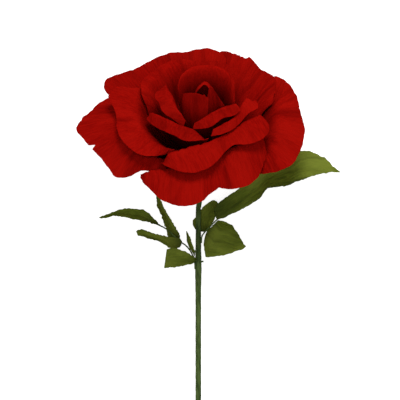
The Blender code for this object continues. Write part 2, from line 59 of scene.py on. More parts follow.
class Socket:
    # a node's output: sums on it add Math nodes, and node() adds any other kind
    def __init__(self, tree, output=None):
        self.tree = tree
        self.output = output

    def node(self, kind, settings=None, values=None, take=0):
        made = self.tree.nodes.new("ShaderNode" + kind)
        for name, value in (settings or {}).items():
            setattr(made, name, value)
        for name, value in (values or {}).items():
            if isinstance(value, Socket):
                self.tree.links.new(value.output, made.inputs[name])
            else:
                made.inputs[name].default_value = value
        return Socket(self.tree, made.outputs[take])

    def sum(self, operation, first, second):
        return self.node("Math", {"operation": operation}, {0: first, 1: second})

    def __add__(self, other):
        return self.sum("ADD", self, other)

    def __radd__(self, other):
        return self.sum("ADD", other, self)

    def __sub__(self, other):
        return self.sum("SUBTRACT", self, other)

    def __rsub__(self, other):
        return self.sum("SUBTRACT", other, self)

    def __mul__(self, other):
        return self.sum("MULTIPLY", self, other)

    def __rmul__(self, other):
        return self.sum("MULTIPLY", other, self)

    def within(self, low, high):
        # 0 at low, 1 at high, smooth between
        return self.node("MapRange", {"interpolation_type": "SMOOTHSTEP"},
                         {"Value": self, "From Min": low, "From Max": high})

    def blend(self, colourA, colourB):
        # a colour between the two, by this value
        return self.node("Mix", {"data_type": "RGBA"}, {0: self, 6: colourA, 7: colourB}, take=2)

    def stretched(self, across, along, out=1.0):
        # these coordinates, made so many times larger each way
        return self.node("VectorMath", {"operation": "MULTIPLY"}, {0: self, 1: (across, along, out)})

    def noise(self, detail=2.0, roughness=0.5, distortion=0.0):
        return self.node("TexNoise", {}, {"Vector": self, "Scale": 1.0, "Detail": detail,
                                          "Roughness": roughness, "Distortion": distortion})


# Crepe paper: fine ribs along the grain, blotches where the dye took more or less, and painted shade that
# darkens each sheet towards its tail

# how many times finer than a look's own sizes each pattern is, and its noise's detail, roughness and swirl
crepe = {
    "ribs": {"across": 1, "along": 1, "drawn": (2.5, 0.6)},
    "crinkles": {"across": 0.45, "along": 1.6, "drawn": (3.0, 0.55, 0.4)},
    "blotches": {"across": 1, "along": 0.4, "drawn": (2.0,)},
    "patches": {"across": 2.2, "along": 0.3, "drawn": (1.5,)},
    "ribEdges": (0.3, 0.7), "blotchEdges": (0.35, 0.7), "patchEdges": (0.5, 0.78),
    "ribRough": 0.08, "crinkleHeight": 1.5,
}


def crepePattern(grain, kind, width, length):
    # one pattern of the crepe, of about this size across and along the grain
    pattern = crepe[kind]
    return grain.stretched(pattern["across"] / width, pattern["along"] / length).noise(*pattern["drawn"])


def crepePaper(name, look):
    material = bpy.data.materials.new(name)
    material.use_nodes = True
    tree = material.node_tree
    shader = tree.nodes["Principled BSDF"]
    shader.inputs["Specular IOR Level"].default_value = look["gloss"]
    sheet = Socket(tree)
    grain = sheet.node("UVMap", {"uv_map": "grain"})
    spread = sheet.node("UVMap", {"uv_map": "spread"})
    along = sheet.node("SeparateXYZ", {}, {0: spread}, take=1)
    ribs = crepePattern(grain, "ribs", look["rib"], look["ribLength"])
    crinkles = crepePattern(grain, "crinkles", look["rib"], look["ribLength"])
    blotches = crepePattern(grain, "blotches", look["blotch"], look["blotch"])
    patches = crepePattern(grain, "patches", look["blotch"], look["blotch"])
    shade = (ribs.within(*crepe["ribEdges"]) * look["ribShade"]
             + crinkles.within(*crepe["ribEdges"]) * look["crinkleShade"])
    colour = shade.blend(look["dark"], look["light"])
    colour = (blotches.within(*crepe["blotchEdges"]) * look["fade"]).blend(colour, look["faded"])
    colour = (patches.within(*crepe["patchEdges"]) * look["patch"]).blend(colour, look["tail"])
    # painted shade: the colour darkens towards the sheet's tail, deep in the flower and at a leaf's base,
    # along the spread map's second coordinate
    colour = ((1 - along.within(0.0, look["paintedShadeEnd"])) * look["paintedShadeStrength"]).blend(colour, look["tail"])
    tree.links.new(colour.output, shader.inputs["Base Color"])
    rough = look["rough"] + crepe["ribRough"] * ribs
    tree.links.new(rough.output, shader.inputs["Roughness"])
    height = ribs + crepe["crinkleHeight"] * crinkles
    relief = sheet.node("Bump", {}, {"Strength": look["relief"], "Distance": look["ribHeight"],
                                     "Height": height})
    tree.links.new(relief.output, shader.inputs["Normal"])
    return material


# tail is the colour of the random dark patches and also of the painted shade towards each sheet's tail; the
# two numbers after it set how far along the sheet that painted shade reaches and how dark it gets
redCrepe = {
    "dark": (0.24, 0.0022, 0.0012, 1), "light": (0.38, 0.0046, 0.0023, 1),
    "faded": (0.44, 0.0065, 0.0034, 1), "fade": 0.5, "patch": 0.38, "blotch": 24 * mm,
    "tail": (0.045, 0.0004, 0.0003, 1), "paintedShadeEnd": 0.72, "paintedShadeStrength": 0.85,
    "rib": 0.85 * mm, "ribLength": 14 * mm, "ribShade": 0.4, "crinkleShade": 0.6, "ribHeight": 0.4 * mm,
    "relief": 0.7, "rough": 0.82, "gloss": 0.0,
}
greenCrepe = {
    "dark": (0.062, 0.085, 0.009, 1), "light": (0.175, 0.230, 0.020, 1),
    "faded": (0.24, 0.29, 0.040, 1), "fade": 0.7, "patch": 0.6, "blotch": 16 * mm,
    "tail": (0.022, 0.036, 0.006, 1), "paintedShadeEnd": 0.38, "paintedShadeStrength": 0.75,
    "rib": 0.7 * mm, "ribLength": 12 * mm, "ribShade": 0.5, "crinkleShade": 0.5, "ribHeight": 0.3 * mm,
    "relief": 0.65, "rough": 0.8, "gloss": 0.02,
}
stemCrepe = {
    "dark": (0.014, 0.026, 0.008, 1), "light": (0.105, 0.170, 0.040, 1),
    "faded": (0.14, 0.20, 0.060, 1), "fade": 0.5, "patch": 0.6, "blotch": 5 * mm,
    "tail": (0.018, 0.04, 0.01, 1), "paintedShadeEnd": 0.02, "paintedShadeStrength": 0.5,
    "rib": 0.7 * mm, "ribLength": 16 * mm, "ribShade": 0.5, "crinkleShade": 0.6, "ribHeight": 0.25 * mm,
    "relief": 0.5, "rough": 0.75, "gloss": 0.08,
}

rolledCrepe = {**redCrepe, "light": (0.30, 0.003, 0.003, 1), "relief": 0.4}

petalPaper = crepePaper("red crepe", redCrepe)
rolledPaper = crepePaper("rolled red crepe", rolledCrepe)
leafPaper = crepePaper("leaf crepe", greenCrepe)
stemPaper = crepePaper("stem crepe", stemCrepe)


# Drawn steel: fine lines along the wire

drawn = {
    "lines": (4000, 200, 4000), "detail": 3.0, "dark": (0.18, 0.18, 0.18, 1), "light": (0.42, 0.41, 0.40, 1),
    "rough": 0.3, "roughLines": 0.25,
}


def drawnSteel(name):
    material = bpy.data.materials.new(name)
    material.use_nodes = True
    tree = material.node_tree
    shader = tree.nodes["Principled BSDF"]
    shader.inputs["Metallic"].default_value = 1.0
    place = Socket(tree).node("TexCoord", take=3)
    lines = place.stretched(*drawn["lines"]).noise(drawn["detail"])
    colour = lines.blend(drawn["dark"], drawn["light"])
    tree.links.new(colour.output, shader.inputs["Base Color"])
    rough = drawn["rough"] + drawn["roughLines"] * lines
    tree.links.new(rough.output, shader.inputs["Roughness"])
    return material


# Curves and sheets of points

curveSteps = 12


def refine(points, count):
    # smooth curve through the rows of points, read at even steps of the rows
    ends = np.concatenate([[2 * points[0] - points[1]], points, [2 * points[-1] - points[-2]]])
    place = np.linspace(0, len(points) - 1, count)
    k = np.minimum(place.astype(int), len(points) - 2)
    t = (place - k).reshape((-1,) + (1,) * (points.ndim - 1))
    a, b, c, d = (ends[k + i] for i in range(4))
    return 0.5 * (2 * b + (c - a) * t + (2 * a - 5 * b + 4 * c - d) * t**2 + (3 * b - a - 3 * c + d) * t**3)


def evenly(points, count):
    # the same smooth curve, with its points spread evenly by length
    fine = refine(np.array(points, float), curveSteps * (len(points) - 1) + 1)
    along = np.concatenate([[0], np.cumsum(np.linalg.norm(np.diff(fine, axis=0), axis=1))])
    places = np.linspace(0, along[-1], count)
    return np.stack([np.interp(places, along, fine[:, i]) for i in range(3)], axis=1), along[-1]


def outFromAxis(place):
    flat = np.array([place[0], place[1], 0.0])
    return flat / np.linalg.norm(flat)


def leaning(out, degrees):
    angle = math.radians(degrees)
    return out * math.sin(angle) + np.array([0, 0, math.cos(angle)])


def unit(vectors):
    return vectors / np.maximum(np.linalg.norm(vectors, axis=-1, keepdims=True), 1e-12)


def smoothStep(low, high, value):
    t = np.clip((value - low) / (high - low), 0, 1)
    return t * t * (3 - 2 * t)


def gridFaces(columns, rows):
    # a flat sheet of faces, with which corner is which column and row
    bm = bmesh.new()
    bmesh.ops.create_grid(bm, x_segments=columns, y_segments=rows, size=1)
    places = [(round((v.co.x + 1) / 2 * columns), round((v.co.y + 1) / 2 * rows)) for v in bm.verts]
    return bm, places


def sheetPiece(name, sheet, grain, thickness, material, closed=False, shadeReach=1):
    # a sheet of paper through the points, with its wall, in the world: a closed one meets itself,
    # and the painted shade that darkens it towards its tail reaches further as the last number grows
    columns, rows = sheet.shape[0] - 1, sheet.shape[1] - 1
    bm, places = gridFaces(columns, rows)
    for vert, (column, row) in zip(bm.verts, places):
        vert.co = sheet[column, row]
    grainLayer = bm.loops.layers.uv.new("grain")
    spreadLayer = bm.loops.layers.uv.new("spread")
    where = dict(zip(bm.verts, places))
    for face in bm.faces:
        for loop in face.loops:
            column, row = where[loop.vert]
            loop[grainLayer].uv = grain[column, row]
            # the spread map's second coordinate places the painted shade of the tail
            loop[spreadLayer].uv = (column / columns, (row / rows)**shadeReach)
    if closed:
        bmesh.ops.remove_doubles(bm, verts=bm.verts, dist=weld)
    bmesh.ops.recalc_face_normals(bm, faces=bm.faces)
    mesh = bpy.data.meshes.new(name)
    bm.to_mesh(mesh)
    bm.free()
    piece = bpy.data.objects.new(name, mesh)
    bpy.context.scene.collection.objects.link(piece)
    wall = piece.modifiers.new("paper", "SOLIDIFY")
    wall.thickness = thickness
    wall.offset = 0
    applyModifiers(piece)
    finishMesh(piece, material, sharpFrom["sheet"])
    return piece


def applyModifiers(piece):
    graph = bpy.context.evaluated_depsgraph_get()
    solid = bpy.data.meshes.new_from_object(piece.evaluated_get(graph))
    piece.modifiers.clear()
    old = piece.data
    piece.data = solid
    bpy.data.meshes.remove(old)


def finishMesh(piece, material, sharpAngle):
    piece.data.name = piece.name
    piece.data.materials.clear()
    piece.data.materials.append(material)
    piece.data.shade_smooth()
    piece.data.set_sharp_from_angle(angle=math.radians(sharpAngle))


def toWorld(matrix, points):
    turn = np.array(matrix.to_3x3())
    return points @ turn.T + np.array(matrix.translation)


# Petals, each from its tail at the foot to its rim.
# Crests and rims are right, back and up from the foot, in millimetres. A nick is its place to the right,
# its place back and up added together, its width and its depth.

paper = {
    "wall": 0.35 * mm, "cutWall": 0.6 * mm, "glue": 0.3 * mm, "open": 1.6 * mm, "openBy": 0.3,
    "spindle": 4.4 * mm, "rows": 8, "column": 12 * mm, "fewest": 8, "sweeps": 10, "spread": 6,
    "reach": 2 * mm, "snug": 0.02 * mm, "sideEase": 0.65, "bend": 4, "fineColumn": 0.8 * mm, "fineRows": 56,
    "seed": 3.7, "grainShift": (0.37, 0.11),
}

# on some petals the painted shade of the tail is stretched further towards the rim, to darken the hollows
# beside the petals in front
petals = {
    "bud_heart_petal": dict(
        layer=0, turn=140, hold=85, ruffle=0.4, folds=0.5,
        crest=[(8, 0, 68), (6, 4, 77), (1, 5, 83), (-5, 4, 78), (-9, 0, 68)],
        rim=[(8, -4, 60), (8, -3, 77), (5, -1, 83), (1, 1, 87), (-4, -1, 84), (-8, -3, 78), (-8, -4, 60)],
    ),
    "bud_right_petal": dict(
        layer=1, turn=-45, hold=60, lean=(12, 34), curl=(-6, 25), ruffle=0.3, folds=0.6,
        rim=[(0, -13, 55), (2, -10, 78), (5, -6, 91), (9, -8, 87), (14, -10, 80), (18, -11, 72),
             (19, -4, 60)],
    ),
    "bud_front_petal": dict(
        layer=2, turn=-138, hold=48, lean=(15, 36), curl=(-8, 30), ruffle=0.3, folds=0.8,
        rim=[(-16, 2, 54), (-19, -1, 76), (-13, -9, 86), (-7, -12, 89), (-2, -13, 88), (3.5, -12, 84)],
    ),
    "inner_back_petal": dict(
        layer=3, turn=80, hold=84, ruffle=0.5, folds=0.7, bend=2.4, shadeReach=0.9,
        crest=[(-19, 3, 42), (-21, 4, 76), (-13, 8, 84), (-3, 11, 86), (5, 11, 86), (13, 8, 86), (19, 2, 84),
               (23, -5, 80), (21, -6, 42)],
        rim=[(-23, 5, 54), (-20, 10, 76), (-12, 20, 86), (3, 25, 85), (17, 22, 85), (25, 12, 83),
             (27, 1, 79), (25, -7, 60)],
    ),
    "inner_left_petal": dict(
        layer=4, turn=195, hold=55, ruffle=0.5, folds=0.5,
        crest=[(-31, 9, 75), (-30, 5, 75), (-27, 0, 74), (-24, -9, 71), (-20, -16, 68),
               (-15, -19, 61)],
        rim=[(-37, 12, 73), (-43, 4, 72), (-39, -4, 70), (-36, -11, 66), (-28, -16, 63),
             (-20, -21, 60), (-18, -23, 58)],
    ),
    "inner_right_petal": dict(
        layer=5, turn=-60, hold=60, ruffle=0.5, folds=0.5,
        crest=[(-8, -23, 62), (-2, -22, 66), (5, -18, 69), (12, -14, 71), (19, -11, 72),
               (25, -9, 71)],
        rim=[(-10, -27, 60), (3, -29, 64), (11, -26, 67), (17, -22, 69), (26, -20, 70),
             (32, -13, 70)],
    ),
    "inner_front_petal": dict(
        layer=6, turn=226, hold=52, ruffle=0.6, folds=0.5,
        crest=[(-32, 1, 36), (-46, -7, 60), (-40, -11, 62), (-31, -16, 62), (-23, -21, 62), (-15, -26, 62),
               (-6, -30, 61), (2, -27, 42)],
        rim=[(-40, 3, 46), (-50, -8, 56), (-44, -19, 57), (-33, -27, 57), (-25, -32, 57), (-17, -38, 57),
             (-6, -38, 57), (4, -34, 56)],
    ),
    "middle_back_right_petal": dict(
        layer=7, turn=60, hold=60, lean=(24, 40), curl=(60, 20), ruffle=0.7, folds=0.8, shadeReach=1.8,
        rim=[(-14, 30, 54), (-5, 42, 70), (5, 47, 72), (16, 45, 72), (24, 39, 71), (33, 36, 70),
             (40, 28, 68), (40, 17, 64), (33, 7, 50)],
    ),
    "middle_back_left_petal": dict(
        layer=8, turn=135, hold=60, lean=(38, 42), curl=(80, 20), ruffle=0.7, folds=0.8, shadeReach=1.8,
        rim=[(-47, 4, 43), (-51, 9, 57), (-56, 20, 67), (-50, 30, 69), (-40, 40, 71), (-30, 46, 73),
             (-15, 48, 73), (0, 45, 68), (8, 36, 50)],
    ),
    "middle_right_petal": dict(
        layer=8, turn=-30, hold=50, ruffle=0.6, folds=0.5,
        crest=[(8, -28, 60), (15, -25, 62), (22, -20, 63), (28, -13, 65), (31, -4, 66),
               (35, 3, 67), (34, 6, 38)],
        rim=[(6, -33, 58), (17, -31, 59), (27, -25, 60), (34, -17, 62), (40, -9, 64),
             (48, -3, 65), (43, 5, 66), (38, 8, 48)],
    ),
    "middle_left_petal": dict(
        layer=9, turn=195, hold=55, ruffle=0.8, folds=0.7,
        crest=[(-50, 26, 50), (-54, 24, 58), (-55, 12, 56), (-54, -2, 53), (-52, -15, 51), (-46, -25, 49),
               (-38, -32, 46), (-29, -33, 42), (-20, -28, 34)],
        rim=[(-48, 28, 40), (-64, 27, 58), (-76, 28, 58), (-84, 18, 56), (-77, 2, 54), (-76, -18, 52),
             (-70, -32, 50), (-60, -43, 48), (-46, -46, 46), (-31, -38, 41), (-18, -29, 30)],
    ),
    "middle_front_petal": dict(
        layer=10, turn=285, hold=60, ruffle=0.8, folds=0.7,
        crest=[(-27, -37, 20), (-33, -43, 43), (-25, -42, 48), (-15, -38, 50), (-3, -33, 52), (8, -28, 53),
               (20, -23, 54), (31, -16, 57), (41, -12, 58), (47, -6, 56), (38, 1, 34)],
        rim=[(-32, -44, 29), (-38, -49, 41), (-25, -59, 42), (-8, -61, 41), (6, -55, 43), (14, -46, 45),
             (24, -36, 49), (38, -35, 50), (50, -31, 52), (57, -20, 54), (51, -6, 54), (45, 3, 42)],
    ),
    "outer_back_left_petal": dict(
        layer=11, turn=120, hold=50, lean=(50, 35), curl=(70, 40), ruffle=1.0, folds=1.0, shadeReach=1.5,
        rim=[(-60, 22, 31), (-86, 38, 43), (-86, 51, 46), (-62, 68, 42), (-39, 84, 43), (-18, 81, 51),
             (5, 83, 53), (18, 77, 49), (22, 60, 36)],
    ),
    "outer_back_right_petal": dict(
        layer=12, turn=62, hold=45, lean=(50, 35), curl=(72, 40), ruffle=1.0, folds=1.1, shadeReach=1.5,
        nicks=[(31, 128, 4, 4)],
        rim=[(0, 52, 22), (6, 74, 42), (12, 82, 49), (21, 84, 47), (30, 86, 44), (38, 86, 42.5),
             (45, 77, 42), (51, 68, 41), (56, 64, 40.5), (61, 60, 41), (63, 47, 42), (60, 28, 38)],
    ),
    "outer_left_petal": dict(
        layer=12, turn=192, hold=42, ruffle=1.0, folds=1.2, nicks=[(-99.4, 11, 3.5, 6)],
        crest=[(-56, 30, 26), (-66, 26, 34), (-68, 14, 40), (-67, 4, 43), (-64, -14, 42), (-58, -27, 40),
               (-50, -36, 38), (-42, -37, 36), (-32, -36, 33)],
        rim=[(-62, 34, 24), (-74, 38, 35), (-86, 35, 37), (-99, 22, 36), (-111, 4, 34), (-109, -5, 33),
             (-98, -20, 30), (-88, -32, 27), (-77, -49, 24), (-66, -49, 24), (-57, -46, 28), (-48, -43, 27),
             (-38, -42, 26), (-30, -39, 26)],
    ),
    "outer_front_petal": dict(
        layer=13, turn=270, hold=50, ruffle=0.9, folds=0.9, nicks=[(11.4, -37, 5, 5)],
        crest=[(-51, -42, 25), (-47, -44, 32), (-40, -44, 35), (-28, -44, 37), (-15, -45, 35), (-2, -42, 36),
               (12, -36, 38), (24, -30, 41), (36, -24, 44), (45, -16, 44), (48, -8, 40)],
        rim=[(-55, -46, 20), (-54, -52, 21), (-48, -60, 23), (-38, -72, 20), (-20, -79, 18), (-4, -75, 18),
             (10, -60, 19), (22, -61, 20), (36, -59, 22), (47, -49, 24), (53, -32, 28), (53, -18, 32)],
    ),
    "outer_right_petal": dict(
        layer=14, turn=0, hold=50, ruffle=0.9, folds=0.8,
        crest=[(46, 46, 19), (54, 42, 31), (60, 28, 35), (61, 12, 40), (60, -2, 40), (58, -14, 34),
               (52, -24, 28), (44, -27, 20)],
        rim=[(38, 50, 16), (60, 61, 38), (72, 54, 41), (81, 39, 39), (84, 22, 37), (88, 0, 34),
             (84, -22, 30), (76, -36, 26), (64, -40, 22), (46, -34, 12)],
    ),
}


def tailPlace(layer):
    # each layer's tails sit outside and below the last
    pitch = paper["cutWall"] + paper["glue"]
    return paper["spindle"] + paper["glue"] + paper["cutWall"] / 2 + layer * pitch, -layer * pitch


def petalLines(petal):
    # the petal as it is rolled: a Bezier curve from tail to rim for each column
    rimPoints = np.array(petal["rim"], float) * mm
    rimLength = evenly(rimPoints, 2)[1]
    columns = max(paper["fewest"], round(rimLength / paper["column"]))
    rim, _ = evenly(rimPoints, columns + 1)
    radius, height = tailPlace(petal["layer"])
    swept = sum(a[0] * b[1] - a[1] * b[0] for a, b in zip(rimPoints, rimPoints[1:]))
    way = math.copysign(1, swept)
    v = np.linspace(0, 1, paper["rows"] + 1)[:, None]
    folded = "crest" in petal
    crests = evenly(np.array(petal["crest"], float) * mm, columns + 1)[0] if folded else rim
    bend = petal.get("bend", paper["bend"])
    low, high = (1 - v)**bend, v**bend
    sheet = np.zeros((columns + 1, paper["rows"] + 1, 3))
    for column, edge in enumerate(rim):
        across = 2 * column / columns - 1
        turn = math.radians(petal["turn"] + petal["hold"] * across * way)
        tail = np.array([radius * math.cos(turn), radius * math.sin(turn), height])
        if folded:
            corner = (2**bend * crests[column] - tail - edge) / (2**bend - 2)
            sheet[column] = tail * low + corner * (1 - low - high) + edge * high
            continue
        curlReach = petal["curl"][1] * (1 - paper["sideEase"] * across**4) * mm
        rise = tail + leaning(outFromAxis(tail), petal["lean"][0]) * petal["lean"][1] * mm
        crest = edge - leaning(outFromAxis(edge), petal["curl"][0]) * curlReach
        sheet[column] = (tail * (1 - v)**3 + rise * 3 * (1 - v)**2 * v
                         + crest * 3 * (1 - v) * v**2 + edge * v**3)
    return sheet, rimLength, way


def backwards(sheet):
    # where the back of the petal faces, square to its lines
    along = np.empty_like(sheet)
    along[:, 1:-1] = sheet[:, 2:] - sheet[:, :-2]
    along[:, -1] = sheet[:, -1] - sheet[:, -2]
    along[:, 0] = along[:, 1]
    out = unit(sheet * np.array([1, 1, 0]))
    lengthOut = (along * out).sum(axis=-1, keepdims=True)
    up = np.zeros_like(sheet)
    up[..., 2] = 1
    return unit(out * along[..., 2:3] - up * lengthOut)


def pairsOf(columns, rows):
    # neighbours on a sheet: each corner with itself, along, across and over to the next
    for c in range(columns):
        for r in range(rows):
            for c2, r2 in ((c, r), (c, r + 1), (c + 1, r), (c + 1, r + 1)):
                if c2 < columns and 0 < r2 < rows:
                    yield c, r, c2, r2


def glueOver(sheet, laid, folded):
    # eases a petal outwards until it clears every petal that was glued before it, a fold as one
    columns, rows = sheet.shape[:2]
    out = backwards(sheet)
    top = rows // 2 - 1
    if folded:
        out[:, top:] = out[:, top:top + 1]
    pairs = list(pairsOf(columns, rows))
    for _ in range(paper["sweeps"]):
        push = np.zeros((columns, rows))
        for c, r, c2, r2 in pairs:
            away = Vector(out[c, r] + out[c2, r2]).normalized()
            place = Vector((sheet[c, r] + sheet[c2, r2]) / 2)
            opened = min(1, r / rows / paper["openBy"])
            gap = paper["cutWall"] + paper["glue"] + (paper["open"] - paper["glue"]) * opened
            need = 0
            for tree in laid:
                hit = tree.ray_cast(place - away * gap, away, gap + paper["reach"])
                if hit[0]:
                    need = max(need, hit[3])
                near = tree.find_nearest(place, gap)
                if near[0]:
                    need = max(need, gap - near[3])
            for column, row in ((c, r), (c2, r2)):
                if row > 0:
                    push[column, row] = max(push[column, row], need)
        if push.max() < paper["snug"]:
            break
        needed = push.copy()
        for _ in range(paper["spread"]):
            wide = np.pad(push, 1, mode="edge")
            mean = (wide[:-2, 1:-1] + wide[2:, 1:-1] + wide[1:-1, :-2] + wide[1:-1, 2:]) / 4
            push = np.maximum(needed, mean)
            push[:, 0] = 0
        sheet += out * push[..., None]


def sheetTree(sheet):
    columns, rows = sheet.shape[0] - 1, sheet.shape[1] - 1
    bm, places = gridFaces(columns, rows)
    for vert, (column, row) in zip(bm.verts, places):
        vert.co = sheet[column, row]
    tree = BVHTree.FromBMesh(bm)
    bm.free()
    return tree


def faceOut(sheet, way):
    # the true normal of each corner, on the back of the petal
    across = np.gradient(sheet, axis=0)
    along = np.gradient(sheet, axis=1)
    return unit(np.cross(across, along)) * way


def hand(u, v, seed):
    # slow noise from -1 to 1
    return noise.noise(Vector((u, v, seed)))


# Wrinkles of a petal: each one's width in millimetres, turns from tail to rim, strength and seed

wrinkles = {
    "fold": (11, 1.2, 1, 0), "smallFold": (5, 2, 0.5, 1), "crease": (8, 1.8, 2, 8),
    "ruffle": (9, 2.5, 1, 2), "smallRuffle": (4, 3, 0.6, 3),
    "crinkle": (2.4, 7, 1, 4), "fineCrinkle": (0.95, 1.7, 0.7, 7),
    "snip": (7, 0.5, 0.7, 5), "smallSnip": (2.6, 0.5, 0.3, 6),
}

# the shares of the petal's length where they are full grown or begin, and how strong they are
loose = {"from": 0.35, "rim": 0.72, "nick": 0.8, "crease": 0.9, "crinkle": 0.16, "snip": 0.9}


def wave(kind, u, v, seed):
    width, turns, strength, own = wrinkles[kind]
    return strength * hand(u / width, v * turns, seed + own)


def crinkled(sheet, way, rimLength, petal, seed):
    # folds along the grain, fine crinkles, and a ruffled cut rim
    columns, rows = sheet.shape[:2]
    normal = faceOut(sheet, way)
    along = unit(np.gradient(sheet, axis=1))
    lift = np.zeros((columns, rows))
    slide = np.zeros((columns, rows))
    for c in range(columns):
        u = c / (columns - 1) * rimLength / mm
        snip = wave("snip", u, 1, seed) + wave("smallSnip", u, 1, seed)
        for r in range(1, rows):
            v = r / (rows - 1)
            folds = wave("fold", u, v, seed) + wave("smallFold", u, v, seed)
            ruffle = wave("ruffle", u, v, seed) + wave("smallRuffle", u, v, seed)
            crinkle = wave("crinkle", u, v, seed) + wave("fineCrinkle", u, v, seed)
            folds += loose["crease"] * (0.5 - abs(wave("crease", u, v, seed)))
            free = min(1, v / loose["from"])
            rimward = smoothStep(loose["rim"], 1.0, v)
            lift[c, r] = (folds * petal["folds"] * free + crinkle * loose["crinkle"] * free
                          + ruffle * petal["ruffle"] * rimward) * mm
            slide[c, r] = snip * petal["ruffle"] * loose["snip"] * rimward**2 * mm
            for right, level, width, depth in petal.get("nicks", ()):
                place = sheet[c, -1] / mm
                off = math.hypot(place[0] - right, place[1] + place[2] - level)
                slide[c, r] -= max(0, 1 - off / width) * depth * smoothStep(loose["nick"], 1.0, v) * mm
    return sheet + normal * lift[..., None] + along * slide[..., None]


def makePetal(name, petal, laid, seed):
    rolled, rimLength, way = petalLines(petal)
    glueOver(rolled, laid, "crest" in petal)
    laid.append(sheetTree(rolled))
    columns = round(rimLength / paper["fineColumn"])
    fine = refine(rolled, columns + 1)
    fine = refine(fine.transpose(1, 0, 2), paper["fineRows"] + 1).transpose(1, 0, 2)
    fine = crinkled(fine, way, rimLength, petal, seed)
    lineLength = np.linalg.norm(np.diff(fine[columns // 2], axis=0), axis=1).sum()
    u, v = np.meshgrid(np.linspace(0, rimLength, columns + 1),
                       np.linspace(0, lineLength, paper["fineRows"] + 1), indexing="ij")
    shiftAcross, shiftAlong = paper["grainShift"]
    grain = np.stack([u + seed * shiftAcross, v + seed * shiftAlong], axis=-1)
    piece = sheetPiece(name.replace("_petal", "_crepe"), toWorld(flowerToWorld, fine), grain, paper["wall"],
                       petalPaper, shadeReach=petal.get("shadeReach", 1))
    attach(piece, "root")
    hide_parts(name)


laid = []
for number, (name, petal) in enumerate(petals.items()):
    makePetal(name, petal, laid, paper["seed"] * (number + 1))
print("petals:", len(petals))


# Leaves, cut from base to tip. Outlines are right and up from the foot, in millimetres.
# depth is how far away the middle lies, cup how far the left and right edges stand nearer than that.

leafCut = {
    "wall": 0.35 * mm, "rows": 110, "columns": 24, "tooth": 0.8 * mm, "teeth": 1.9 * mm, "crease": 1.15,
    "cup": 1.5, "wave": 9 * mm, "waveDepth": 0.6 * mm, "waveEdge": 4 * mm, "rib": 0.7 * mm,
    "ribLength": 12 * mm, "ribDepth": 0.22 * mm, "seed": 5.3, "grainShift": (0.1, 0.23),
}

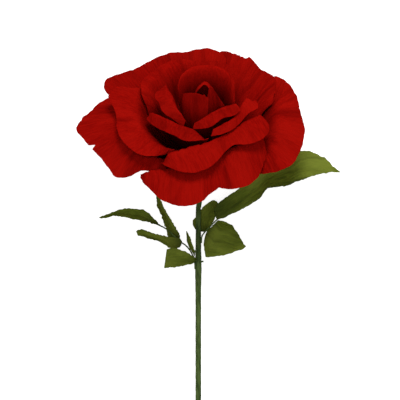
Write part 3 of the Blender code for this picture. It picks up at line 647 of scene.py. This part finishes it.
leaves = {
    "left_end_leaf": dict(
        left=[(-38.5, -60.5), (-46, -58.5), (-53, -56.5), (-60.5, -55), (-68, -53.5), (-75, -52),
              (-82.5, -52.5), (-88, -54), (-92.5, -53.8)],
        right=[(-38.5, -60), (-42, -56.5), (-45, -53.5), (-48.5, -50), (-53.5, -46.5), (-60, -46),
               (-67, -45), (-73, -46), (-79, -48), (-85.5, -50.5), (-92.5, -53.2)],
        depth=(15.5, 14, 13.5, 15, 17), cup=((0.5, 2.5, 2, 0.3), (0.5, 3, 2.5, 0.3)), rib=0.45),
    "left_upper_leaf": dict(
        left=[(-22.5, -73), (-27.5, -72), (-31.5, -70.5), (-33.5, -64), (-36, -56.5), (-38.5, -50),
              (-41.5, -43), (-42, -33.5)],
        right=[(-21.5, -72), (-21.5, -69.5), (-24, -64), (-27.5, -58), (-31, -52), (-35, -45),
               (-38.5, -38), (-41.5, -33.5)],
        depth=(19.3, 21, 22, 21), cup=((0.5, 3, 2, 0.5), (0.3, 3.5, 2.5, 0.5)), rib=0.5),
    "left_lower_leaf": dict(
        left=[(-19.5, -75.5), (-21, -79), (-24.5, -80.5), (-31, -79.5), (-35, -77), (-39.5, -74.5),
              (-45, -73), (-49.5, -72), (-53.5, -70), (-58.5, -69.5)],
        right=[(-19.5, -74.5), (-22, -71.5), (-29, -71), (-35, -69.5), (-41.5, -68), (-48.5, -66),
               (-53.5, -64), (-58, -64), (-60, -65.5)],
        depth=(16.5, 15, 16, 19), cup=((0.5, 2.5, 1.5, 0.5), (0.5, -1, 1, 0.5)), rib=0.4),
    "left_round_leaf": dict(
        left=[(-6, -90.5), (-9.5, -93.5), (-15, -95), (-22, -96.5), (-28, -97.5), (-34.5, -98), (-35, -96)],
        right=[(-6, -90), (-8, -88.5), (-13, -85.5), (-18.5, -82.5), (-24, -80.5), (-29, -80),
               (-33, -81.5)],
        depth=(17.6, 17, 18, 20), cup=((0.5, 1.5, 1.5, 0.5), (0.5, 2, 2, 1)), rib=0.35),
    "left_small_leaf": dict(
        left=[(-9, -88), (-9.5, -85.5), (-13, -80), (-15, -75), (-15.5, -69.5), (-15.5, -65.5)],
        right=[(-8, -87.5), (-8, -83.5), (-10, -77.5), (-12, -72), (-13.5, -68), (-15.5, -65)],
        depth=(17.2, 16.3, 15.8, 16.3), cup=((0.3, 1.2, 0.8, 0.2), (0.3, 1.4, 1, 0.2)), rib=0.5),
    "right_back_leaf": dict(
        left=[(-1, -66), (-4.5, -65.5), (-8, -63.5), (-9.5, -60), (-10.5, -56.5), (-7.5, -53),
              (-3.5, -47), (2.5, -41.5), (7.5, -38)],
        right=[(-0.5, -66), (2, -64.5), (4.5, -62.5), (7, -59), (9.5, -54), (10.5, -49.5), (12.5, -44.5),
               (12.5, -40.5), (9, -38)],
        depth=(25.7, 25.9, 25.9, 25.4), cup=((0, 0.3, 0.3, 0), (0.3, 2.5, 2.5, 0.5)), rib=0.55),
    "right_round_leaf": dict(
        left=[(2.5, -65), (4.5, -63.5), (8, -60), (11.5, -56.5), (15, -56), (21, -58), (25.5, -60.5),
              (29, -66), (32.5, -72), (35, -76.5), (37, -79)],
        right=[(2.5, -66), (1, -69.5), (0, -75), (0, -80), (1, -86.5), (2, -88.5), (9.5, -87.5),
               (16.5, -87), (23, -85.5), (29, -83), (34.5, -81), (37, -79.5)],
        depth=(20.9, 21.3, 22.3, 24.3), cup=((0.5, -0.5, 0.5, 0.5), (0.5, 3, 2, 0.5)), rib=0.5),
    "right_end_leaf": dict(
        left=[(8.5, -46.5), (14, -39.5), (21, -34.5), (29, -29), (37, -22), (46, -15.5), (54.5, -10),
              (63.5, -6), (72, -2), (80, 2), (86, 5.5), (93.5, 5.5), (100.5, 2.5), (107.5, -1),
              (112, -5.5), (116, -9.5), (121, -13)],
        right=[(9, -48.5), (10.5, -53), (13, -55), (23, -51), (33.5, -46), (42, -41.5), (49.5, -36),
               (53.5, -30.5), (58, -27), (67, -26), (74, -25), (81, -22), (88, -19.5), (95, -17),
               (102, -15), (111, -13.5), (117, -13.5), (121, -13.5)],
        depth=(17.4, 17.3, 19, 21.3, 23, 23, 22.3, 20.3),
        cup=((2, 4.5, 5, 2, -2, -2.5, -2, 0), (1, -2, -1.5, 2, 3, 3, 2, 0)), rib=0.5),
}


def makeLeaf(name, leaf, seed):
    rows, columns = leafCut["rows"], leafCut["columns"]
    sides = []
    for side in ("left", "right"):
        outline = np.array([(across, 0, up) for across, up in leaf[side]], float) * mm
        sides.append(evenly(outline, rows + 1)[0])
    depth, cupLeft, cupRight = (refine(np.array(values, float), rows + 1) * mm
                                for values in (leaf["depth"], *leaf["cup"]))
    rib = sides[0] + (sides[1] - sides[0]) * leaf["rib"]
    length = np.linalg.norm(np.diff(rib, axis=0), axis=1).sum()
    sheet = np.zeros((columns + 1, rows + 1, 3))
    grain = np.zeros((columns + 1, rows + 1, 2))
    shiftAcross, shiftAlong = leafCut["grainShift"]
    for c in range(columns + 1):
        share = c / columns - leaf["rib"]
        if share < 0:
            edge, cup, out = sides[0], cupLeft, -share / leaf["rib"]
        else:
            edge, cup, out = sides[1], cupRight, share / (1 - leaf["rib"])
        for r in range(rows + 1):
            width = np.linalg.norm(edge[r] - rib[r])
            down = r / rows * length
            tooth = hand(down / leafCut["teeth"], share, seed) * leafCut["tooth"]
            tooth = 1 + tooth / max(width, leafCut["tooth"])
            near = cup[r] * leafCut["cup"] * out**leafCut["crease"]
            waves = hand(down / leafCut["wave"], share, seed + 1) * leafCut["waveDepth"]
            near += waves * out * min(1, width / leafCut["waveEdge"])
            ribs = hand(share * width / leafCut["rib"], down / leafCut["ribLength"], seed + 2)
            near += ribs * leafCut["ribDepth"]
            sheet[c, r] = rib[r] + (edge[r] - rib[r]) * out * tooth + np.array([0, depth[r] - near, 0])
            grain[c, r] = (math.copysign(out * width, share) + seed * shiftAcross, down + seed * shiftAlong)
    # the leaf crepe's painted shade darkens each leaf towards its base
    piece = sheetPiece(name.replace("_leaf", "_leaf_crepe"), toWorld(plantToWorld, sheet), grain,
                       leafCut["wall"], leafPaper)
    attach(piece, "root")
    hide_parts(name)


for number, (name, leaf) in enumerate(leaves.items()):
    makeLeaf(name, leaf, leafCut["seed"] * (number + 1))
print("leaves:", len(leaves))


# Tubes: the tape round the stem and the wires of the leaves

crumple = {"around": 3, "along": 1.5 * mm, "fullFrom": 0.5 * mm}


def tubePiece(name, path, radii, columns, material, wind, seed):
    # a tube along the path, wound with a strip that overlaps itself; a first or last row without radius
    # closes its end
    along = unit(np.gradient(path, axis=0))
    side = unit(np.cross(along, np.array([0.0, 1, 0])))
    over = np.cross(along, side)
    steps = np.concatenate([[0], np.cumsum(np.linalg.norm(np.diff(path, axis=0), axis=1))])
    rows = len(path) - 1
    bm, places = gridFaces(columns, rows)
    grainLayer = bm.loops.layers.uv.new("grain")
    spreadLayer = bm.loops.layers.uv.new("spread")
    where = dict(zip(bm.verts, places))
    for face in bm.faces:
        for loop in face.loops:
            column, row = where[loop.vert]
            turn = column / columns
            loop[grainLayer].uv = (turn * math.tau * radii.max() + seed, steps[row] + turn * wind["slant"])
            loop[spreadLayer].uv = (turn, 1)
    for vert, (column, row) in where.items():
        turn = column / columns
        lap = (steps[row] / wind["pitch"] + turn) % 1
        angle = turn * math.tau
        rough = hand(crumple["around"] * math.cos(angle),
                     steps[row] / crumple["along"] + crumple["around"] * math.sin(angle), seed)
        lift = (wind["lap"] * (lap - 0.5) + wind["rough"] * rough) * min(1, radii[row] / crumple["fullFrom"])
        if radii[row] < wind["skip"]:
            lift = 0
        outwards = side[row] * math.cos(angle) + over[row] * math.sin(angle)
        vert.co = path[row] + outwards * (radii[row] + lift)
    bmesh.ops.remove_doubles(bm, verts=bm.verts, dist=2 * weld)
    bmesh.ops.recalc_face_normals(bm, faces=bm.faces)
    mesh = bpy.data.meshes.new(name)
    bm.to_mesh(mesh)
    bm.free()
    piece = bpy.data.objects.new(name, mesh)
    bpy.context.scene.collection.objects.link(piece)
    finishMesh(piece, material, sharpFrom["tape"])
    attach(piece, "root")
    return piece


stem = {
    "length": 340, "neck": 22, "neckSteps": 6, "lead": 2, "sidestep": -5, "sidestepEnd": 45,
    "straight": (1, 4 / 3, 5 / 3), "foot": 21, "wire": 1.3, "gap": 0.3, "topRadius": 2.1, "radius": 2.5,
    "bindingRadius": 2.9, "binding": 98, "bound": (0.9, 1, 1.15), "bindingSpread": 0.15, "sides": 28,
    "step": 1.1 * mm, "sleeveStep": 12, "seed": 1.7,
    "wind": {"pitch": 11 * mm, "slant": 11 * mm, "lap": 0.22 * mm, "rough": 0.09 * mm, "skip": 1.9 * mm},
}


def stemPath():
    # round the neck under the foot and straight down, as in the solid
    nod = math.radians(lying["nod"])
    axis = np.array([0, -math.sin(nod), math.cos(nod)])
    neck = axis * -(stem["foot"] + stem["lead"])
    centre = neck + np.array([0, -math.cos(nod), -math.sin(nod)]) * stem["neck"]
    path = []
    for step in range(stem["neckSteps"] + 1):
        angle = nod * (1 - step / stem["neckSteps"])
        path.append(centre + np.array([0, math.cos(angle), math.sin(angle)]) * stem["neck"])
    last = path[-1][1]
    depths = [share * stem["sidestepEnd"] for share in stem["straight"]]
    depths += [share * stem["binding"] for share in stem["bound"]] + [stem["length"]]
    path += [np.array([0, last, -depth]) for depth in depths]
    for place in path:
        share = min(max((place[2] - neck[2]) / (-stem["sidestepEnd"] - neck[2]), 0), 1)
        place[0] = stem["sidestep"] * share * share * (3 - 2 * share)
    return np.array(path) * mm


def alongPath(path, step):
    # points at even steps on the straight runs between the path's points
    lengths = np.concatenate([[0], np.cumsum(np.linalg.norm(np.diff(path, axis=0), axis=1))])
    count = round(lengths[-1] / step) + 1
    places = np.linspace(0, lengths[-1], count)
    return np.stack([np.interp(places, lengths, path[:, i]) for i in range(3)], axis=1)


def stemRadius(place):
    depth = -place[2] / mm
    spread = (depth - stem["binding"]) / (stem["bindingSpread"] * stem["binding"])
    plain = stem["topRadius"] + (stem["radius"] - stem["topRadius"]) * min(depth / stem["binding"], 1)
    return (plain + (stem["bindingRadius"] - stem["radius"]) * math.exp(-spread * spread)) * mm


# the tape runs down outside the wire and back up inside, and its last row lies at its first, not joined to it
outer = alongPath(stemPath(), stem["step"])
inner = outer[::-stem["sleeveStep"]]
sleeve = toWorld(plantToWorld, np.concatenate([outer, inner, outer[:1]]))
bore = (stem["wire"] + stem["gap"]) * mm
radii = np.array([stemRadius(place) for place in outer] + [bore] * len(inner) + [stemRadius(outer[0])])
tape = tubePiece("stem_tape", sleeve, radii, stem["sides"], stemPaper, stem["wind"], stem["seed"])
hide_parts("stem_wrap")

leafWires = {
    "left_leaf_wire": dict(radius=0.65, path=[
        (-7.9, 19.7, -99), (-8.4, 19.3, -92), (-11.4, 18.7, -84), (-15.8, 18.3, -78.3), (-19.4, 18, -75.7),
        (-25.5, 17.7, -70.4), (-33.4, 17.3, -63.4), (-42, 17.1, -59)]),
    "right_leaf_wire": dict(radius=0.65, path=[
        (-2.4, 19.9, -76), (-1.8, 19.5, -70), (0.9, 19.1, -66), (4.4, 18.9, -62.5), (9, 18.8, -57.5),
        (15, 18.8, -52)]),
}
wireEnd = dict(radius=0.75, seed=8.1, path=[
    (-4.5, 20.8, -93.5), (-3, 20.2, -92.8), (-1.6, 19.9, -92.3), (-0.4, 19.8, -92.2)])
twig = {
    "points": 80, "sides": 10, "seed": 2.9,
    "wind": {"pitch": 3.5 * mm, "slant": 3 * mm, "lap": 0.12 * mm, "rough": 0.06 * mm, "skip": 0},
}


def leafWire(name, wire, seed):
    way = evenly(np.array(wire["path"], float) * mm, twig["points"])[0]
    way = np.concatenate([way[:1], way, way[-1:]])
    radii = np.full(len(way), wire["radius"] * mm)
    radii[0] = radii[-1] = 0
    return tubePiece(name, toWorld(plantToWorld, way), radii, twig["sides"], stemPaper, twig["wind"], seed)


for number, (name, wire) in enumerate(leafWires.items()):
    piece = leafWire(name.replace("_wire", "_twig"), wire, twig["seed"] * (number + 1))
    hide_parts(name)
tail = leafWire("twig_end", wireEnd, wireEnd["seed"])
print("stem and twigs")


# Calyx: one cut of green crepe with pointed sepals, gathered under the petals

foot = {
    "depth": stem["foot"], "glue": 0.3, "rimWall": 1, "seat": 0.724, "socket": 1.6, "socketDepth": 12,
    "lip": 1, "taper": 0.62, "taperDepth": 0.9, "top": 76, "tip": 1.6, "tipDrop": 1.6, "cone": 53.2,
    "coneSteps": 16, "sides": 96, "lap": 0.35, "lapFrom": 0.5, "pitch": 3.0,
}
calyx = {
    "sepals": 5, "start": 90, "reach": 12, "rise": 5, "paper": 0.7, "neck": 1.4, "waist": 0.6,
    "wall": 0.4 * mm, "sides": 240, "rows": 36, "gathers": 0.35, "gathersAround": 9, "gathersUp": 1.5,
    "fold": 0.54, "foldSharp": 6, "grain": (80 * mm, 30 * mm),
}
footRadius = (tailPlace(max(petal["layer"] for petal in petals.values()))[0] + paper["cutWall"]) / mm


def footTop(radius):
    # the foot steps down under the petals' tails
    return tailPlace(0)[0] / mm - radius - foot["seat"]


def makeCalyx():
    bottom = np.array([0, 0, -foot["depth"] - foot["glue"] - calyx["paper"]])
    rim = footRadius + foot["glue"] + calyx["paper"]
    rimHeight = footTop(footRadius) - foot["rimWall"]
    collar = stem["topRadius"] + foot["glue"] + calyx["paper"] / 2
    up = np.array([0, 0, 1.0])
    sheet = np.zeros((calyx["sides"] + 1, calyx["rows"] + 1, 3))
    grain = np.zeros((calyx["sides"] + 1, calyx["rows"] + 1, 2))
    for side in range(calyx["sides"] + 1):
        part = side % calyx["sides"] / calyx["sides"]
        spike = 1 - abs((part * calyx["sepals"]) % 1 - 0.5) * 2
        turn = math.radians(calyx["start"]) + part * math.tau
        out = np.array([math.cos(turn), math.sin(turn), 0])
        ends = (out * collar + bottom, out * rim * calyx["waist"] + bottom,
                out * rim + up * (rimHeight - calyx["neck"]),
                out * (rim + calyx["reach"] * spike) + up * (rimHeight + calyx["rise"] * spike))
        around = out * calyx["gathersAround"]
        for row in range(calyx["rows"] + 1):
            v = row / calyx["rows"]
            place = sum(end * share for end, share in zip(
                ends, ((1 - v)**3, 3 * (1 - v)**2 * v, 3 * (1 - v) * v**2, v**3)))
            gather = hand(around[0], around[1], v * calyx["gathersUp"]) * calyx["gathers"]
            keel = calyx["fold"] * max(0, 1 - (1 - spike) * calyx["foldSharp"]) * v**2
            sheet[side, row] = (place - up * (gather * min(1, 4 * v * (1 - v)) + keel)) * mm
            grain[side, row] = (side / calyx["sides"] * calyx["grain"][0], v * calyx["grain"][1])
    # the leaf crepe's painted shade darkens the calyx towards the stem
    piece = sheetPiece("calyx_crepe", toWorld(flowerToWorld, sheet), grain, calyx["wall"], leafPaper,
                       closed=True)
    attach(piece, "root")
    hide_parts("calyx")


makeCalyx()


# Rolled paper in the middle of the flower, on the glued foot

def makeSpindle():
    tipHeight = foot["top"] - foot["tipDrop"]
    profile = [(0, foot["top"]), (foot["tip"], tipHeight)]
    spindle = paper["spindle"] / mm
    for step in range(1, foot["coneSteps"] + 1):
        share = step / foot["coneSteps"]
        profile.append((foot["tip"] + (spindle - foot["tip"]) * share,
                        tipHeight + (foot["cone"] - tipHeight) * share))
    low = footTop(footRadius) - foot["rimWall"]
    top = foot["socketDepth"] - foot["depth"]
    profile += [(spindle, footTop(spindle)), (footRadius, footTop(footRadius)), (footRadius, low),
                (foot["taper"] * footRadius, -foot["taperDepth"] * foot["depth"]),
                (foot["socket"] + foot["lip"], -foot["depth"]),
                (foot["socket"], -foot["depth"]), (foot["socket"], top), (0, top)]
    bm = bmesh.new()
    verts = [bm.verts.new(Vector((radius, 0, height)) * mm) for radius, height in profile]
    edges = [bm.edges.new(pair) for pair in zip(verts, verts[1:])]
    bmesh.ops.spin(bm, geom=verts + edges, cent=(0, 0, 0), axis=(0, 0, 1), angle=math.tau,
                   steps=foot["sides"], use_merge=True, use_duplicate=False)
    bmesh.ops.remove_doubles(bm, verts=bm.verts, dist=weld)
    bmesh.ops.recalc_face_normals(bm, faces=bm.faces)
    grainLayer = bm.loops.layers.uv.new("grain")
    spreadLayer = bm.loops.layers.uv.new("spread")
    for face in bm.faces:
        middle = face.calc_center_median()
        seam = math.atan2(middle.y, middle.x)
        for loop in face.loops:
            turn = math.atan2(loop.vert.co.y, loop.vert.co.x)
            turn += math.tau * round((seam - turn) / math.tau)
            rise = turn / math.tau * foot["pitch"] * mm
            loop[grainLayer].uv = (turn * spindle * mm, loop.vert.co.z + rise)
            loop[spreadLayer].uv = (0.5, 1)
    for vert in bm.verts:
        radius = vert.co.xy.length
        if vert.co.z > foot["lapFrom"] * mm and radius > 0:
            lap = (vert.co.z / mm / foot["pitch"] + math.atan2(vert.co.y, vert.co.x) / math.tau) % 1
            vert.co.xy *= 1 - foot["lap"] * mm * lap / radius
    mesh = bpy.data.meshes.new("bud_roll")
    bm.to_mesh(mesh)
    bm.free()
    mesh.transform(flowerToWorld)
    piece = bpy.data.objects.new("bud_roll", mesh)
    bpy.context.scene.collection.objects.link(piece)
    finishMesh(piece, rolledPaper, sharpFrom["roll"])
    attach(piece, "root")
    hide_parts("bud_spindle")


makeSpindle()
print("calyx and roll")


# The wire keeps the solid's own shape

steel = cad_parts["stem_wire"]
for slot in steel.material_slots:
    slot.material = drawnSteel("drawn steel wire")
print("wire finished")


# Floor, light and camera

stage = {
    "floor": (0.80, 0.80, 0.80, 1), "white": (1, 1, 1, 1), "lift": 0.85, "size": 6.0, "rough": 0.9,
    "gloss": 0.1, "sky": 0.42, "target": (0, 0.1, 0.03),
}
lamps = {
    "window": dict(place=(0.15, 1.5, 1.7), size=0.7, power=23),
    "fill": dict(place=(-0.3, -0.2, 2.2), size=1.6, power=5),
}


def makeFloor():
    bm = bmesh.new()
    bmesh.ops.create_grid(bm, x_segments=1, y_segments=1, size=stage["size"] / 2)
    mesh = bpy.data.meshes.new("floor")
    bm.to_mesh(mesh)
    bm.free()
    floor = bpy.data.objects.new("floor", mesh)
    bpy.context.scene.collection.objects.link(floor)
    material = bpy.data.materials.new("white paper floor")
    material.use_nodes = True
    tree = material.node_tree
    shader = tree.nodes["Principled BSDF"]
    shader.inputs["Base Color"].default_value = stage["floor"]
    shader.inputs["Roughness"].default_value = stage["rough"]
    shader.inputs["Specular IOR Level"].default_value = stage["gloss"]
    seen = Socket(tree).node("LightPath", take=0)
    glow = seen.node("Emission", {}, {"Color": stage["white"], "Strength": seen * stage["lift"]})
    both = seen.node("AddShader", {}, {0: Socket(tree, shader.outputs[0]), 1: glow})
    tree.links.new(both.output, tree.nodes["Material Output"].inputs["Surface"])
    floor.data.materials.append(material)


def softLight(name, lamp):
    data = bpy.data.lights.new(name, "AREA")
    data.shape = "DISK"
    data.size = lamp["size"]
    data.energy = lamp["power"]
    light = bpy.data.objects.new(name, data)
    bpy.context.scene.collection.objects.link(light)
    light.location = lamp["place"]
    facing = Vector(stage["target"]) - Vector(lamp["place"])
    light.rotation_euler = facing.to_track_quat("-Z", "Y").to_euler()


def makeSky():
    world = bpy.data.worlds.new("studio")
    bpy.context.scene.world = world
    world.use_nodes = True
    sky = world.node_tree.nodes["Background"]
    sky.inputs["Color"].default_value = stage["white"]
    sky.inputs["Strength"].default_value = stage["sky"]


# the photo's pixels: their size here, where the foot lies in it, and how wide it is
view = {"pixel": 0.88 * mm, "foot": (204, 157), "picture": 400, "distance": 4.0, "clip": 20}


def makeCamera():
    half = view["picture"] / 2
    right = (half - view["foot"][0]) * view["pixel"]
    up = (view["foot"][1] - half) * view["pixel"]
    data = bpy.data.cameras.new("camera")
    data.sensor_fit = "HORIZONTAL"
    data.lens = data.sensor_width * view["distance"] / (view["picture"] * view["pixel"])
    data.clip_end = view["clip"]
    camera = bpy.data.objects.new("camera", data)
    bpy.context.scene.collection.objects.link(camera)
    facing = Matrix(((1, 0, 0), (0, 0, -1), (0, 1, 0))).to_4x4()
    camera.matrix_world = plantToWorld @ Matrix.Translation((right, -view["distance"], up)) @ facing
    bpy.context.scene.camera = camera


makeFloor()
for name, lamp in lamps.items():
    softLight(name, lamp)
makeSky()
makeCamera()
bpy.context.scene.view_settings.view_transform = "Standard"
print("stage set")
